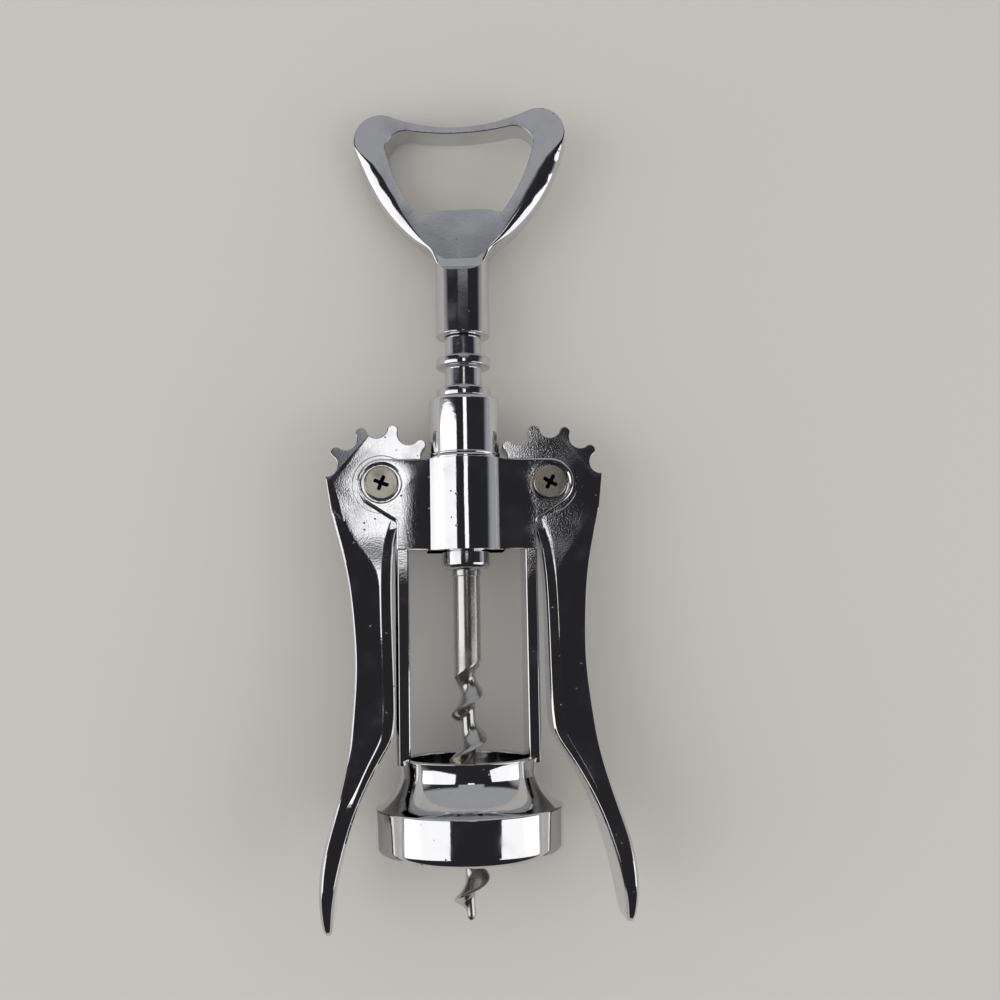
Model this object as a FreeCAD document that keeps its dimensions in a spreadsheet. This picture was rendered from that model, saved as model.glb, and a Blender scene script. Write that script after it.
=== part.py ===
import FreeCAD, Part
import Sketcher
import math
import os

# Wing corkscrew, lying on its back.
# The origin is on the worm's axis, in the plane of the bell's mouth.
# +Y runs up the axis towards the opener handle, +X is to the right and +Z is the screw-head side.

doc = FreeCAD.newDocument("WingCorkscrew")
sheet = doc.addObject("Spreadsheet::Sheet", "Sizes")

DRIVING_SIZES = [
    # bell
    ("mouth_radius", 19.25, "outside of the bell's lower band"),
    ("mouth_round", 2.0, "rounding at the mouth's outer edge"),
    ("band_height", 9.3, "height of the lower band"),
    ("waist_depth", 0.5, "how far the waist lies inside the rim"),
    ("rim_band", 3.6, "narrowest place of the bell, below the rim"),
    ("rim_radius", 14.5, "outside of the upper rim"),
    ("rim_height", 19.0, "height of the upper rim"),
    ("rim_curve", 13.1, "radius of the hollow between waist and rim"),
    ("flare_radius", 8.7, "radius of the hollow flare"),
    ("bell_wall", 3.65, "wall around the bore that takes the bottle's lip"),
    ("step_drop", 0.3, "step in that bore, below the band's top"),
    ("rim_wall", 2.1, "wall of the bell above the step"),
    ("lead_in", 0.6, "chamfer that leads the bottle in"),
    # struts
    ("strut_inset", 2.55, "inner face of a strut, inside the rim"),
    ("strut_thickness", 2.9, "strut, measured across the front"),
    ("strut_proud", 0.6, "turned outer face of the struts, outside the rim"),
    # yoke
    ("window_height", 42.4, "underside of the yoke, above the bell"),
    ("yoke_height", 19.2, "height of the yoke"),
    ("yoke_half_depth", 5.2, "half of the depth over the two cheeks"),
    ("cheek_inset", 0.35, "yoke's side below the ears, inside the struts"),
    ("barrel_wall", 2.78, "wall of the yoke's round middle, outside the rings"),
    ("ear_radius", 5.0, "round end of an ear"),
    ("ear_slope", 57.0, "direction of the ear's lower edge, in degrees"),
    # guide collar
    ("collar_wall", 1.73, "wall of the guide collar, outside the rings"),
    ("collar_length", 13.3, "collar standing above the yoke"),
    ("collar_round", 0.9, "rounding at the collar's top"),
    ("foot_bead", 0.3, "bead at the collar's foot, outside the collar"),
    ("collar_foot_height", 1.3, "height of that bead"),
    ("seat_wall", 1.08, "wall of the part that is pressed into the yoke"),
    ("collar_seat_depth", 3.0, "depth of that seat"),
    # rack
    ("ring_radius", 5.82, "rack rings and handle shank"),
    ("ring_depth", 1.87, "depth of the grooves between the rings"),
    ("ring_width", 2.1, "width of a ring"),
    ("ring_pitch", 6.68, "distance from ring to ring"),
    ("ring_count", 6.0, "number of rings"),
    ("ring_lead", 26.25, "middle of the ring next to the handle, above the pivots"),
    ("rack_stand_out", 3.9, "lower end of the rack, below the yoke"),
    ("end_relief", 0.62, "plain lower end of the rack, inside the rings"),
    ("rack_end_round", 1.4, "rounding at that end"),
    ("running_gap", 0.07, "radial clearance of a running fit"),
    ("seat_gap", 0.02, "radial clearance of a fixed fit"),
    ("end_gap", 0.1, "clearance between faces that meet end to end"),
    # handle
    ("handle_lead", 5.7, "lower end of the handle, above the first ring"),
    ("shank_length", 13.55, "length of the handle's round shank"),
    ("head_half_thickness", 3.3, "half of the opener head's thickness"),
    ("head_twist", 8.5, "turn of the handle about the axis, in degrees"),
    ("lobe_rise", 30.5, "middle of the lobes, above the shank"),
    ("lobe_offset", 17.3, "middle of a lobe, from the axis"),
    ("lobe_radius", 5.8, "radius of a lobe"),
    ("lobe_top_angle", 110.0, "where the top edge leaves a lobe, in degrees"),
    ("lobe_side_angle", -19.0, "where the outer edge leaves a lobe, in degrees"),
    ("top_dip_rise", 2.25, "middle of the head's top edge, above the lobes' middle"),
    ("arm_radius", 36.0, "curve of the head's outer edges"),
    ("neck_rise", 5.2, "where the head's edges reach the neck, above the shank"),
    ("neck_swell", 0.66, "neck's half width, outside the shank"),
    ("mouth_side_inset", 1.1, "widest place of the opening, inside the lobes' middle"),
    ("mouth_side_drop", 1.8, "widest place, below the lobes' middle"),
    ("mouth_corner_inset", 4.9, "upper corners of the opening, inside its widest place"),
    ("mouth_corner_rise", 1.85, "those corners, above the lobes' middle"),
    ("mouth_middle_rise", 0.7, "middle of the opening's upper edge, above the lobes' middle"),
    ("mouth_corner_bend", 4.6, "radius of those corners"),
    ("mouth_side_bend", 36.0, "curve of the opening's sides"),
    ("lip_inset", 7.1, "ends of the lip, inside the opening's widest place"),
    ("lip_drop", 17.3, "ends of the lip that lifts the cap, below the lobes' middle"),
    ("lip_rise", 0.8, "rise of the lip in its middle"),
    ("lip_shoulder", 3.6, "raised middle of the lip, inside its ends"),
    ("neck_blend", 3.0, "length over which the neck runs out into the shank"),
    # worm
    ("worm_radius", 3.95, "outside of the worm"),
    ("worm_pitch", 9.3, "pitch of the worm, right-handed"),
    ("thread_rise", 19.0, "upper end of the thread, above the bell"),
    ("thread_end", -9.6, "lower end of the thread"),
    ("point_length", 3.9, "point of the worm, below the thread"),
    ("worm_core_radius", 1.5, "core of the worm"),
    ("point_step", 1.0, "end of the point's taper, above the thread's end"),
    ("shoulder_foot", 3.0, "start of the shank's taper, below the thread's upper end"),
    ("shoulder_top", 1.0, "end of that taper, above the thread's upper end"),
    ("worm_shank_radius", 2.84, "plain shank of the worm"),
    ("worm_bead", 0.26, "collar under the rack, outside the worm's shank"),
    ("worm_collar_height", 1.1, "height of that collar"),
    ("spindle_radius", 2.4, "spindle that runs up through the rack"),
    ("spindle_depth", 11.05, "depth of the spindle inside the handle"),
    ("thread_root_half", 1.15, "half of the thread's thickness at the core"),
    ("thread_crest_half", 0.3, "half of the thread's thickness at the crest"),
    ("thread_foot_radius", 1.05, "where the thread starts, inside the core"),
    # levers
    ("mesh_offset", 5.9053, "rack's pitch line, from the axis"),
    ("pivot_drop", 5.1, "pivots, below the top of the yoke"),
    ("lever_half_thickness", 2.45, "half of the gear's thickness"),
    ("side_gap", 0.15, "clearance between a lever and a cheek"),
    ("tooth_tip", 1.3053, "tips of the teeth, outside their pitch circle"),
    ("tooth_depth", 3.1, "height of the teeth"),
    ("tooth_gap_radius", 2.6, "radius of a tooth gap"),
    ("teeth_in_circle", 11.0, "teeth that a whole wheel would have"),
    ("first_tooth", 3.6, "direction of the first tooth, in degrees"),
    ("tooth_gaps", 6.0, "number of tooth gaps"),
    ("gear_clearance", 0.4, "room around the teeth inside the yoke"),
    ("right_opening", 2.2, "how far the right lever stands open, in degrees"),
    ("toe_length", 1.9, "rounded end of the paddle, below its last station"),
    ("toe_end_half_depth", 2.95, "half of the paddle's depth at its very end"),
    # pivots
    ("barrel_nut_radius", 2.6, "barrel that a lever turns on"),
    ("nut_head_radius", 4.0, "head of the barrel nut"),
    ("nut_head_height", 1.2, "height of that head"),
    ("screw_head_radius", 3.6, "head of the pivot screw"),
    ("screw_head_height", 1.5, "height of that head"),
    ("screw_crown", 0.45, "chamfer of that head"),
    ("screw_radius", 1.5, "threaded part of the pivot screw"),
    ("counterbore_radius", 4.05, "counterbores in the ears"),
    ("recess_width", 0.95, "width of the cross recess"),
    ("recess_span", 3.7, "length of the cross recess"),
    ("recess_depth", 1.0, "depth of the cross recess"),
]

# One station per line: distance below the pivot, inner and outer edge measured outwards from the
# pivot, half of the depth, and the radii of the inner and outer edge down to the next station.
# A positive radius bows outwards, a negative one inwards, and None is straight.
BLADE_STATIONS = [
    ("root", -3.0, 1.0, 12.3, 2.45, None, -150.0),
    ("hip", 8.0, -2.0, 10.1, 2.5, None, -130.0),
    ("thigh", 20.0, -2.0, 7.1, 3.6, None, -110.0),
    ("knee", 39.0, -2.3, 5.65, 4.45, None, -105.0),
    ("bend", 52.0, -2.2, 6.7, 5.3, 82.0, -100.0),
    ("shin", 68.0, 6.1, 10.2, 7.6, 190.0, 41.0),
    ("broad", 80.0, 9.15, 12.6, 8.2, 38.0, 33.0),
    ("toe", 88.8, 9.95, 11.85, 5.9, None, None),
]

for station, drop, inner, outer, half_depth, inner_bend, outer_bend in BLADE_STATIONS:
    DRIVING_SIZES.append((station + "_drop", drop, "lever " + station + ", below the pivot"))
    DRIVING_SIZES.append((station + "_inner", inner, "lever " + station + ", inner edge"))
    DRIVING_SIZES.append((station + "_outer", outer, "lever " + station + ", outer edge"))
    DRIVING_SIZES.append((station + "_half_depth", half_depth, "lever " + station + ", half of the depth"))
    if inner_bend is not None:
        DRIVING_SIZES.append((station + "_inner_bend", inner_bend, "bend of the inner edge below it"))
    if outer_bend is not None:
        DRIVING_SIZES.append((station + "_outer_bend", outer_bend, "bend of the outer edge below it"))

for row, (alias, value, note) in enumerate(DRIVING_SIZES, start=1):
    sheet.set("A%d" % row, alias)
    sheet.set("B%d" % row, str(value))
    sheet.setAlias("B%d" % row, alias)
    sheet.set("C%d" % row, note)
doc.recompute()


class Size:
    """A size worked out from the sheet: its number now, and the expression that keeps it bound."""

    def __init__(self, value, text):
        self.value = float(value)
        self.text = text

    def __add__(self, other):
        other = as_size(other)
        return Size(self.value + other.value, "(%s + %s)" % (self.text, other.text))

    def __sub__(self, other):
        other = as_size(other)
        return Size(self.value - other.value, "(%s - %s)" % (self.text, other.text))

    def __mul__(self, other):
        other = as_size(other)
        return Size(self.value * other.value, "(%s * %s)" % (self.text, other.text))

    def __truediv__(self, other):
        other = as_size(other)
        return Size(self.value / other.value, "(%s / %s)" % (self.text, other.text))

    def __neg__(self):
        return Size(-self.value, "(0 - %s)" % self.text)

    __radd__ = __add__
    __rmul__ = __mul__

    def __rsub__(self, other):
        return as_size(other) - self


def as_size(number):
    """A Size as it is, or a plain number made into one."""
    if isinstance(number, Size):
        return number
    return Size(number, "%.6g" % number if number >= 0 else "(0 - %.6g)" % -number)


def size(alias):
    """The sheet's cell with this alias."""
    return Size(sheet.get(alias), "Sizes." + alias)


def cosine(degrees):
    degrees = as_size(degrees)
    return Size(math.cos(math.radians(degrees.value)), "cos(%s * 1 deg)" % degrees.text)


def sine(degrees):
    degrees = as_size(degrees)
    return Size(math.sin(math.radians(degrees.value)), "sin(%s * 1 deg)" % degrees.text)


def bind(thing, prop, amount):
    """Bind one property of an object to a size."""
    thing.setExpression(prop, as_size(amount).text)


def place(thing, x=0, y=0, z=0, axis=None, degrees=0):
    """Bind an object's place, and its turn about one axis."""
    if axis is not None:
        thing.Placement = FreeCAD.Placement(
            FreeCAD.Vector(0, 0, 0),
            FreeCAD.Rotation(FreeCAD.Vector(*axis), as_size(degrees).value),
        )
        if isinstance(degrees, Size):
            bind(thing, "Placement.Rotation.Angle", degrees)
    bind(thing, "Placement.Base.x", x)
    bind(thing, "Placement.Base.y", y)
    bind(thing, "Placement.Base.z", z)
    return thing


def arc_between(start, end, radius):
    """The short arc from start to end; a positive radius bows to the right of the way travelled."""
    chord = end - start
    side = FreeCAD.Vector(chord.y, -chord.x, 0)
    side.normalize()
    half = chord.Length / 2
    sagitta = abs(radius) - math.sqrt(radius * radius - half * half)
    middle = (start + end) * 0.5 + side * math.copysign(sagitta, radius)
    return Part.Arc(start, middle, end)


def draw(sketch, corners):
    """Draw a closed outline of lines and arcs, with every corner and radius bound to the sheet.

    A corner is (x, y) or (x, y, radius); the radius bends the edge that starts there.
    """
    points = [FreeCAD.Vector(as_size(c[0]).value, as_size(c[1]).value, 0) for c in corners]
    ends = []
    for index, corner in enumerate(corners):
        start = points[index]
        end = points[(index + 1) % len(corners)]
        if len(corner) == 2:
            edge = sketch.addGeometry(Part.LineSegment(start, end))
            ends.append((edge, 1, 2))
            continue
        radius = as_size(corner[2])
        edge = sketch.addGeometry(arc_between(start, end, radius.value))
        forward = sketch.getPoint(edge, 1).distanceToPoint(start) < 1e-6
        ends.append((edge, 1, 2) if forward else (edge, 2, 1))
    for index, (edge, first, last) in enumerate(ends):
        following = ends[(index + 1) % len(ends)]
        sketch.addConstraint(Sketcher.Constraint("Coincident", edge, last, following[0], following[1]))
    for index, corner in enumerate(corners):
        edge, first, last = ends[index]
        for kind, amount in (("DistanceX", corner[0]), ("DistanceY", corner[1])):
            amount = as_size(amount)
            number = sketch.addConstraint(Sketcher.Constraint(kind, -1, 1, edge, first, amount.value))
            sketch.setExpression("Constraints[%d]" % number, amount.text)
        if len(corner) == 3:
            radius = as_size(corner[2])
            number = sketch.addConstraint(Sketcher.Constraint("Radius", edge, abs(radius.value)))
            bound = radius if radius.value > 0 else -radius
            sketch.setExpression("Constraints[%d]" % number, bound.text)
    return sketch


def outline(name, corners):
    return draw(doc.addObject("Sketcher::SketchObject", name), corners)


def mirrored(right_half):
    """The whole corner list of an outline that is the same on both sides of the axis.

    The right half runs clockwise, from the first corner beside the axis at the top to the last
    one at the bottom.
    """
    left_half = []
    for index in range(len(right_half) - 1, -1, -1):
        corner = right_half[index]
        bend = right_half[index - 1][2:] if index > 0 else ()
        left_half.append((-as_size(corner[0]), corner[1]) + tuple(bend))
    return right_half + left_half


def prism(name, corners, half_depth):
    """An outline in the front view, as deep behind the middle plane as before it."""
    body = doc.addObject("Part::Extrusion", name)
    body.Base = outline(name + "Outline", corners)
    body.DirMode = "Custom"
    body.Dir = FreeCAD.Vector(0, 0, 1)
    body.Solid = True
    bind(body, "LengthFwd", half_depth)
    bind(body, "LengthRev", half_depth)
    return body


def turned(name, corners, plane="XY_Plane"):
    """A PartDesign body turned about its sketch's vertical axis, from (radius, height) corners."""
    body = doc.addObject("PartDesign::Body", name)
    support = [f for f in body.Origin.OriginFeatures if f.Role == plane][0]
    sketch = body.newObject("Sketcher::SketchObject", name + "Profile")
    sketch.AttachmentSupport = [(support, "")]
    sketch.MapMode = "FlatFace"
    draw(sketch, corners)
    revolution = body.newObject("PartDesign::Revolution", name + "Turning")
    revolution.Profile = sketch
    revolution.ReferenceAxis = (sketch, ["V_Axis"])
    revolution.Angle = 360.0
    body.Tip = revolution
    return body


def cylinder(name, radius, length, x=0, y=0, z=0, axis=None, degrees=0):
    """A cylinder; without an axis it stands along Z."""
    body = doc.addObject("Part::Cylinder", name)
    bind(body, "Radius", radius)
    bind(body, "Height", length)
    return place(body, x, y, z, axis, degrees)


def box(name, x_size, y_size, z_size, x, y, z):
    body = doc.addObject("Part::Box", name)
    bind(body, "Length", x_size)
    bind(body, "Width", y_size)
    bind(body, "Height", z_size)
    return place(body, x, y, z)


def fuse(name, *pieces):
    body = doc.addObject("Part::MultiFuse", name)
    body.Shapes = list(pieces)
    body.Refine = True
    return body


def cut(name, base, *tools):
    """The base with every tool taken off it."""
    body = doc.addObject("Part::Cut", name)
    body.Base = base
    body.Tool = tools[0] if len(tools) == 1 else fuse(name + "Tools", *tools)
    body.Refine = True
    return body


def common(name, *pieces):
    body = doc.addObject("Part::MultiCommon", name)
    body.Shapes = list(pieces)
    body.Refine = True
    return body


# Heights build up from the bell, and radii from the parts that run in each other.
waist_radius = size("rim_radius") - size("waist_depth")
waist_height = size("rim_height") - size("rim_band")
rim_bore_radius = size("rim_radius") - size("rim_wall")
lip_bore_radius = size("mouth_radius") - size("bell_wall")
lip_bore_depth = size("band_height") - size("step_drop")
strut_inside = size("rim_radius") - size("strut_inset")
strut_outer_radius = size("rim_radius") + size("strut_proud")
cheek_half_width = strut_inside + size("strut_thickness") - size("cheek_inset")
yoke_bottom = size("rim_height") + size("window_height")
yoke_top = yoke_bottom + size("yoke_height")
barrel_radius = size("ring_radius") + size("barrel_wall")
collar_radius = size("ring_radius") + size("collar_wall")
collar_foot_radius = collar_radius + size("foot_bead")
collar_seat_radius = size("ring_radius") + size("seat_wall")
groove_radius = size("ring_radius") - size("ring_depth")
rack_end = yoke_bottom - size("rack_stand_out")
rack_end_radius = size("ring_radius") - size("end_relief")
pivot_height = yoke_top - size("pivot_drop")
pitch_radius = size("ring_pitch") * size("teeth_in_circle") / (2 * math.pi)
pivot_offset = pitch_radius + size("mesh_offset")
tip_radius = pitch_radius + size("tooth_tip")
root_radius = tip_radius - size("tooth_depth")
first_ring = pivot_height + size("ring_lead")
handle_start = first_ring + size("handle_lead")
spindle_end = handle_start + size("spindle_depth")
flat_start = handle_start + size("shank_length")
neck_height = flat_start + size("neck_rise")
neck_half_width = size("ring_radius") + size("neck_swell")
lobe_height = flat_start + size("lobe_rise")
top_dip = lobe_height + size("top_dip_rise")
mouth_half_width = size("lobe_offset") - size("mouth_side_inset")
mouth_side_height = lobe_height - size("mouth_side_drop")
mouth_corner = mouth_half_width - size("mouth_corner_inset")
mouth_corner_height = lobe_height + size("mouth_corner_rise")
mouth_middle_height = lobe_height + size("mouth_middle_rise")
lip_half_width = mouth_half_width - size("lip_inset")
lip_height = lobe_height - size("lip_drop")
lip_middle_half = lip_half_width - size("lip_shoulder")
worm_start = size("rim_height") + size("thread_rise")
worm_tip = size("thread_end") - size("point_length")
worm_collar_radius = size("worm_shank_radius") + size("worm_bead")

ALONG_Y = (1, 0, 0)
EMBED = 1.0  # pieces of one casting reach this far into each other
OVERRUN = 1.0  # cutting tools reach this far past what they cut
pivot_x = pivot_offset
pivot_y = pivot_height
cheek_z = size("yoke_half_depth")
slot_half = size("lever_half_thickness") + size("side_gap")
running_bore = size("ring_radius") + size("running_gap")
finished = []


def finish(node, label):
    node.Label = label
    finished.append(node)


# ---------------------------------------------------------------- frame casting
# The bell that stands on the bottle, two struts and the yoke are one casting.

mouth = size("mouth_radius")
band = size("band_height")
bell_profile = [
    (lip_bore_radius + size("lead_in"), 0),
    (mouth - size("mouth_round"), 0, size("mouth_round")),
    (mouth, size("mouth_round")),
    (mouth, band, -size("flare_radius")),
    (waist_radius, waist_height, -size("rim_curve")),
    (size("rim_radius"), size("rim_height")),
    (rim_bore_radius, size("rim_height")),
    (rim_bore_radius, lip_bore_depth),
    (lip_bore_radius, lip_bore_depth),
    (lip_bore_radius, size("lead_in")),
]
bell = doc.addObject("Part::Revolution", "Bell")
bell.Source = outline("BellProfile", bell_profile)
bell.Axis = FreeCAD.Vector(0, 1, 0)
bell.Angle = 360.0
bell.Solid = True

strut_foot = size("rim_height") - EMBED
strut_top = yoke_bottom + EMBED
struts = []
for side, word in ((-1, "Left"), (1, "Right")):
    inner = strut_inside
    start_x = inner if side > 0 else -(inner + size("strut_thickness"))
    struts.append(
        box(word + "Strut", size("strut_thickness"), strut_top - strut_foot, cheek_z * 2,
            start_x, strut_foot, -cheek_z)
    )
strut_pair = fuse("StrutPair", *struts)
strut_blank = cylinder("StrutBlank", strut_outer_radius, strut_top - strut_foot,
                       y=strut_top, axis=ALONG_Y, degrees=90)
rounded_struts = common("RoundedStruts", strut_pair, strut_blank)

ear = size("ear_radius")
slope = size("ear_slope")
ear_low_x = pivot_x + ear * cosine(-slope)
ear_low_y = pivot_y + ear * sine(-slope)
cheek = cheek_half_width
cheek_y = ear_low_y - (ear_low_x - cheek) * cosine(slope) / sine(slope)
yoke_outline = mirrored([
    (pivot_x, pivot_y + ear, -ear),
    (ear_low_x, ear_low_y),
    (cheek, cheek_y),
    (cheek, yoke_bottom),
])
cheeks = prism("Cheeks", yoke_outline, cheek_z)
yoke_barrel = cylinder("YokeBarrel", barrel_radius, yoke_top - yoke_bottom,
                       y=yoke_top, axis=ALONG_Y, degrees=90)
frame_blank = fuse("FrameBlank", bell, rounded_struts, cheeks, yoke_barrel)

rack_bore = cylinder("RackBore", running_bore, yoke_top - yoke_bottom + 2 * OVERRUN,
                     y=yoke_top + OVERRUN, axis=ALONG_Y, degrees=90)
collar_seat = cylinder("CollarSeat", collar_seat_radius, size("collar_seat_depth") + OVERRUN,
                       y=yoke_top + OVERRUN, axis=ALONG_Y, degrees=90)


def gear_rooms(name):
    """The two round slots that the toothed ends of the levers turn in."""
    rooms = []
    for side, word in ((-1, "Left"), (1, "Right")):
        rooms.append(
            cylinder(name + word, tip_radius + size("gear_clearance"), slot_half * 2,
                     x=side * pivot_x, y=pivot_y, z=-slot_half)
        )
    return rooms


frame_tools = [rack_bore, collar_seat] + gear_rooms("YokeSlot")
nut_hole = size("barrel_nut_radius") + size("seat_gap")
screw_seat = size("screw_head_height") + size("end_gap")
for side, word in ((-1, "Left"), (1, "Right")):
    frame_tools.append(
        cylinder("PivotHole" + word, nut_hole, (cheek_z + OVERRUN) * 2,
                 x=side * pivot_x, y=pivot_y, z=-cheek_z - OVERRUN)
    )
    frame_tools.append(
        cylinder("FrontCounterbore" + word, size("counterbore_radius"), screw_seat + OVERRUN,
                 x=side * pivot_x, y=pivot_y, z=cheek_z - screw_seat)
    )
    frame_tools.append(
        cylinder("BackCounterbore" + word, size("counterbore_radius"), size("nut_head_height") + OVERRUN,
                 x=side * pivot_x, y=pivot_y, z=-cheek_z - OVERRUN)
    )
finish(cut("FrameCasting", frame_blank, *frame_tools), "frame_casting")

# ---------------------------------------------------------------- guide collar
# A turned bush pressed into the top of the yoke; the rack slides through it.

collar = collar_radius
collar_top = yoke_top + size("collar_length")
collar_foot = yoke_top + size("collar_foot_height")
collar_blank = turned("CollarBlank", [
    (running_bore, yoke_top - size("collar_seat_depth")),
    (collar_seat_radius, yoke_top - size("collar_seat_depth")),
    (collar_seat_radius, yoke_top),
    (collar_foot_radius, yoke_top),
    (collar_foot_radius, collar_foot),
    (collar, collar_foot),
    (collar, collar_top - size("collar_round"), size("collar_round")),
    (collar - size("collar_round"), collar_top),
    (running_bore, collar_top),
])
finish(cut("GuideCollar", collar_blank, *gear_rooms("CollarSlot")), "guide_collar")

# ---------------------------------------------------------------- rack
# A sleeve with round rings: its rings stay in mesh with both levers however it is turned.

rack_bore_radius = size("spindle_radius") + size("running_gap")
ring = size("ring_radius")
groove = groove_radius
rack_profile = [
    (rack_bore_radius, rack_end),
    (rack_end_radius - size("rack_end_round"), rack_end, size("rack_end_round")),
    (rack_end_radius, rack_end + size("rack_end_round")),
]
ring_total = int(sheet.get("ring_count"))
lowest_ring = first_ring - size("ring_pitch") * (ring_total - 1)
rack_profile.append((rack_end_radius, lowest_ring - size("ring_width") / 2))
for number in range(ring_total - 1, -1, -1):
    middle = first_ring - size("ring_pitch") * number
    if number < ring_total - 1:
        rack_profile.append((groove, middle - size("ring_width") / 2))
    rack_profile.append((ring, middle - size("ring_width") / 2))
    rack_profile.append((ring, middle + size("ring_width") / 2))
    rack_profile.append((groove, middle + size("ring_width") / 2))
rack_top = handle_start - size("end_gap")
rack_profile.append((groove, rack_top))
rack_profile.append((rack_bore_radius, rack_top))
finish(turned("RackShaft", rack_profile), "rack_shaft")

# ---------------------------------------------------------------- opener handle
# A flat cap-lifter head on a round shank, cast in one.

lobe_x = size("lobe_offset")
lobe_y = lobe_height
lobe = size("lobe_radius")
top_half = lobe_x + lobe * cosine(size("lobe_top_angle"))
top_end = lobe_y + lobe * sine(size("lobe_top_angle"))
side_angle = size("lobe_side_angle")
head_outline = mirrored([
    (top_half, top_end, -lobe),
    (lobe_x + lobe * cosine(side_angle), lobe_y + lobe * sine(side_angle), -size("arm_radius")),
    (neck_half_width, neck_height),
    (ring, flat_start + size("neck_blend")),
    (ring, flat_start - size("neck_blend")),
])
top_rise = top_end - top_dip
top_radius = (top_half * top_half + top_rise * top_rise) / (top_rise * 2)
head_outline[-1] = head_outline[-1] + (top_radius,)

opening_half = mouth_corner
opening_rise = mouth_corner_height - mouth_middle_height
opening_radius = (opening_half * opening_half + opening_rise * opening_rise) / (opening_rise * 2)
opening_outline = mirrored([
    (opening_half, mouth_corner_height, -size("mouth_corner_bend")),
    (mouth_half_width, mouth_side_height, -size("mouth_side_bend")),
    (lip_half_width, lip_height),
    (lip_middle_half, lip_height + size("lip_rise")),
])
opening_outline[-1] = opening_outline[-1] + (opening_radius,)

head_plate = prism("HeadPlate", head_outline, size("head_half_thickness"))
head_opening = prism("HeadOpening", opening_outline, size("head_half_thickness") + OVERRUN)
shank = cylinder("HandleShank", ring, flat_start - handle_start,
                 y=flat_start, axis=ALONG_Y, degrees=90)
socket_depth = spindle_end - handle_start
spindle_socket = cylinder("SpindleSocket", size("spindle_radius"), socket_depth + OVERRUN,
                          y=spindle_end, axis=ALONG_Y, degrees=90)
handle = cut("OpenerHandle", fuse("HandleBlank", head_plate, shank), head_opening, spindle_socket)
place(handle, axis=(0, 1, 0), degrees=-size("head_twist"))
finish(handle, "opener_handle")

# ---------------------------------------------------------------- worm
# A steel screw: point, helical thread, plain shank, collar, and a spindle up into the handle.

core = size("worm_core_radius")
worm_shank = size("worm_shank_radius")
worm_collar_top = rack_end - size("end_gap")
worm_collar_foot = worm_collar_top - size("worm_collar_height")
worm_core = turned("WormCore", [
    (0, worm_tip),
    (core, size("thread_end") + size("point_step")),
    (core, worm_start - size("shoulder_foot")),
    (worm_shank, worm_start + size("shoulder_top")),
    (worm_shank, worm_collar_foot),
    (worm_collar_radius, worm_collar_foot),
    (worm_collar_radius, worm_collar_top),
    (size("spindle_radius"), worm_collar_top),
    (size("spindle_radius"), spindle_end),
    (0, spindle_end),
])


def swept_thread():
    """The thread as a solid: its flight swept along a right-handed helix that climbs Z."""
    inner = sheet.get("thread_foot_radius")
    crest = sheet.get("worm_radius")
    helix = Part.makeLongHelix(
        sheet.get("worm_pitch"), worm_start.value - sheet.get("thread_end"), (inner + crest) / 2
    )
    flight = Part.makePolygon([
        FreeCAD.Vector(inner, 0, -sheet.get("thread_root_half")),
        FreeCAD.Vector(crest, 0, -sheet.get("thread_crest_half")),
        FreeCAD.Vector(crest, 0, sheet.get("thread_crest_half")),
        FreeCAD.Vector(inner, 0, sheet.get("thread_root_half")),
        FreeCAD.Vector(inner, 0, -sheet.get("thread_root_half")),
    ])
    return Part.Wire(helix.Edges).makePipeShell([flight], True, True)


thread = doc.addObject("Part::Feature", "WormThread")
thread.Shape = swept_thread()
thread.Placement = FreeCAD.Placement(
    FreeCAD.Vector(0, sheet.get("thread_end"), 0),
    FreeCAD.Rotation(FreeCAD.Vector(1, 0, 0), -90) * FreeCAD.Rotation(FreeCAD.Vector(0, 0, 1), 180),
)
finish(fuse("Worm", worm_core, thread), "worm")

# ---------------------------------------------------------------- levers


def bent(x, y, side, bend):
    """A corner of the blade's outline, with the bend of the edge that starts there."""
    return (side * x, y) if bend is None else (side * x, y, side * bend)


def blade_outline(side):
    """The blade in the front view: down its outer edge, round the toe and up its inner edge."""
    corners = []
    for station, *_, outer_bend in BLADE_STATIONS:
        bend = None if outer_bend is None else -size(station + "_outer_bend")
        corners.append(bent(size(station + "_outer"), -size(station + "_drop"), side, bend))
    toe_x = (size(station + "_inner") + size(station + "_outer")) / 2
    corners.append((side * toe_x, -size(station + "_drop") - size("toe_length")))
    bends = [None]
    for station, *_, inner_bend, outer_bend in BLADE_STATIONS:
        bends.append(None if inner_bend is None else size(station + "_inner_bend"))
    for index in range(len(BLADE_STATIONS) - 1, -1, -1):
        station = BLADE_STATIONS[index][0]
        corners.append(bent(size(station + "_inner"), -size(station + "_drop"), side, bends[index]))
    return corners


def blade_depth_outline():
    """The blade seen from the side, with half of its depth measured from the middle plane."""
    stations = [name for name, *_ in BLADE_STATIONS]
    corners = [(size(name + "_half_depth"), -size(name + "_drop")) for name in stations]
    corners.append((size("toe_end_half_depth"), -size(stations[-1] + "_drop") - size("toe_length")))
    return mirrored(corners)


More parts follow.
